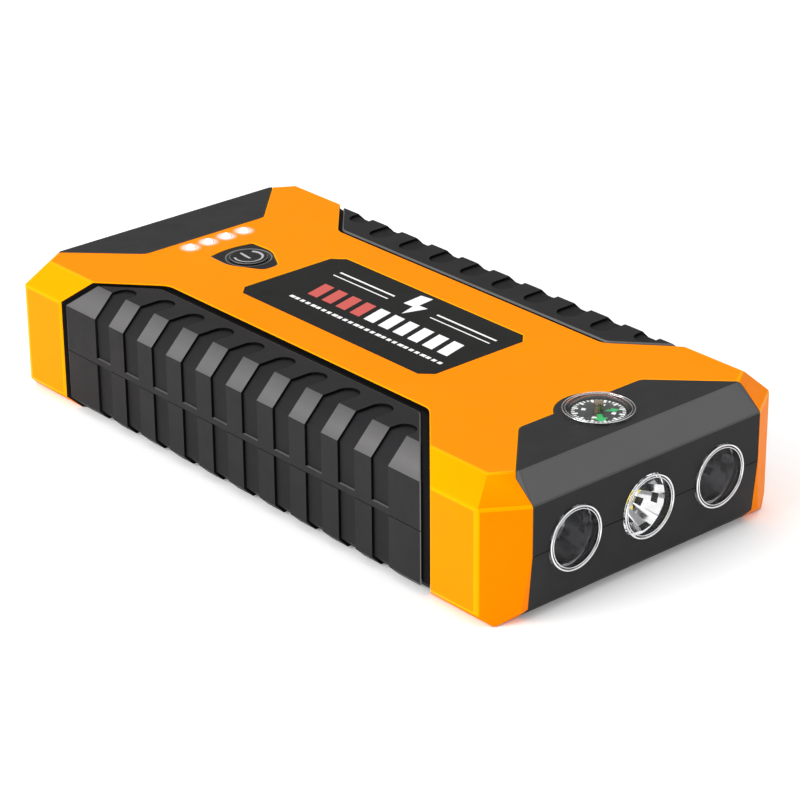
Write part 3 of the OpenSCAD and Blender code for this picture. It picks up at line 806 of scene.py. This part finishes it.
# Flats of a bowl that take the dark second material: painted dark reflections among the bright flats.
BOWL_PAINTED_REFLECTIONS = (0, 0, 0, 1, 0, 0, 0, 0, 1, 0, 0)
BOWLS = {"left": [haze, smoked], "middle": [chrome, smoked], "right": [haze, smoked]}

for lamp_side in LAMP_XS:
    rounded(f"lamp_lens_{lamp_side}", 0.1 * MM, every_edge, [clear_plastic], segments=2)
    lamp_bowl(lamp_side, BOWLS[lamp_side])
    lamp_rim(lamp_side)
    lamp_bulb(lamp_side, phosphor if lamp_side == "middle" else piano)

# ---- Parting line and rear sockets ----

FRONT_GAPS = ((-36.2, -31.2), (-15.4, -7.9), (7.9, 15.4), (31.2, 36.2))


def parting_line():
    """Dark line between the halves of the case, on its front face between the lamps."""
    work = bmesh.new()
    for x0, x1 in FRONT_GAPS:
        outline = mm(bar(x0, x1, 0, 0.3))
        outline = [(x, y - HALF_L - 0.012 * MM) for x, y in outline]
        plate(work, outline, PART_Z - 0.1 * MM, PART_Z + 0.14 * MM)
    return add_piece("parting_line", work, [joint_and_shade_black], "pack")


parting_line()


def finish_rear():
    rounded("jump_socket", 0.2 * MM, every_edge, [blue, blue], segments=2)
    # The rounded strips of the flap and the DC sockets take a painted highlight.
    rounded("socket_flap", 0.35 * MM, every_edge, [rubber, rubber_painted_highlight], segments=3)
    rounded("voltage_switch", 0.12 * MM, every_edge, [white, white], segments=2)
    for name in ("usb_shell_1", "usb_shell_2"):
        rounded(name, 0.06 * MM, every_edge, [steel, steel], segments=1)
    for name in ("dc_socket_in", "dc_socket_out"):
        rounded(name, 0.15 * MM, every_edge, [black, black_painted_highlight], segments=2)


finish_rear()

# ---- Studio ----

FLOOR_GLOW = 0.12


def make_floor():
    bpy.ops.mesh.primitive_plane_add(size=12, location=(0, 0, -0.0002))
    floor = bpy.context.active_object
    floor.name = "floor"
    r = Recipe("floor", Roughness=0.9, Specular_IOR_Level=0.1)
    r.colour(r.blend(r.spread(r.noise(3, 2), 0, 1), (0.93, 0.93, 0.93, 1), (0.95, 0.95, 0.95, 1)))
    r.shader.inputs["Emission Color"].default_value = (1, 1, 1, 1)
    r.shader.inputs["Emission Strength"].default_value = FLOOR_GLOW
    floor.data.materials.append(r.done())


def soft_box(name, towards, distance, size, power):
    """A square lamp in the given direction from the pack, facing it."""
    data = bpy.data.lights.new(name, "AREA")
    data.shape = "RECTANGLE"
    data.size, data.size_y = size
    data.energy = power
    lamp = bpy.data.objects.new(name, data)
    direction = Vector(towards).normalized()
    lamp.location = direction * distance
    lamp.rotation_euler = direction.to_track_quat("Z", "Y").to_euler()
    bpy.context.scene.collection.objects.link(lamp)


def make_world(low, high):
    """Studio dome, dimmer near the horizon than overhead."""
    world = bpy.data.worlds.new("studio")
    world.use_nodes = True
    tree = world.node_tree
    background = tree.nodes["Background"]
    background.inputs["Color"].default_value = (1, 1, 1, 1)
    place = tree.nodes.new("ShaderNodeTexCoord")
    split = tree.nodes.new("ShaderNodeSeparateXYZ")
    tree.links.new(place.outputs["Generated"], split.inputs[0])
    ramp = tree.nodes.new("ShaderNodeMapRange")
    for i, v in enumerate((0.4, 0.6, low, high), 1):
        ramp.inputs[i].default_value = v
    tree.links.new(split.outputs["Z"], ramp.inputs[0])
    tree.links.new(ramp.outputs[0], background.inputs["Strength"])
    bpy.context.scene.world = world


make_floor()
make_world(0.35, 1.2)
soft_box("key", (-1.0, 0.25, 0.5), 1.2, (1.0, 0.8), 14)
bpy.context.scene.view_settings.view_transform = "Standard"
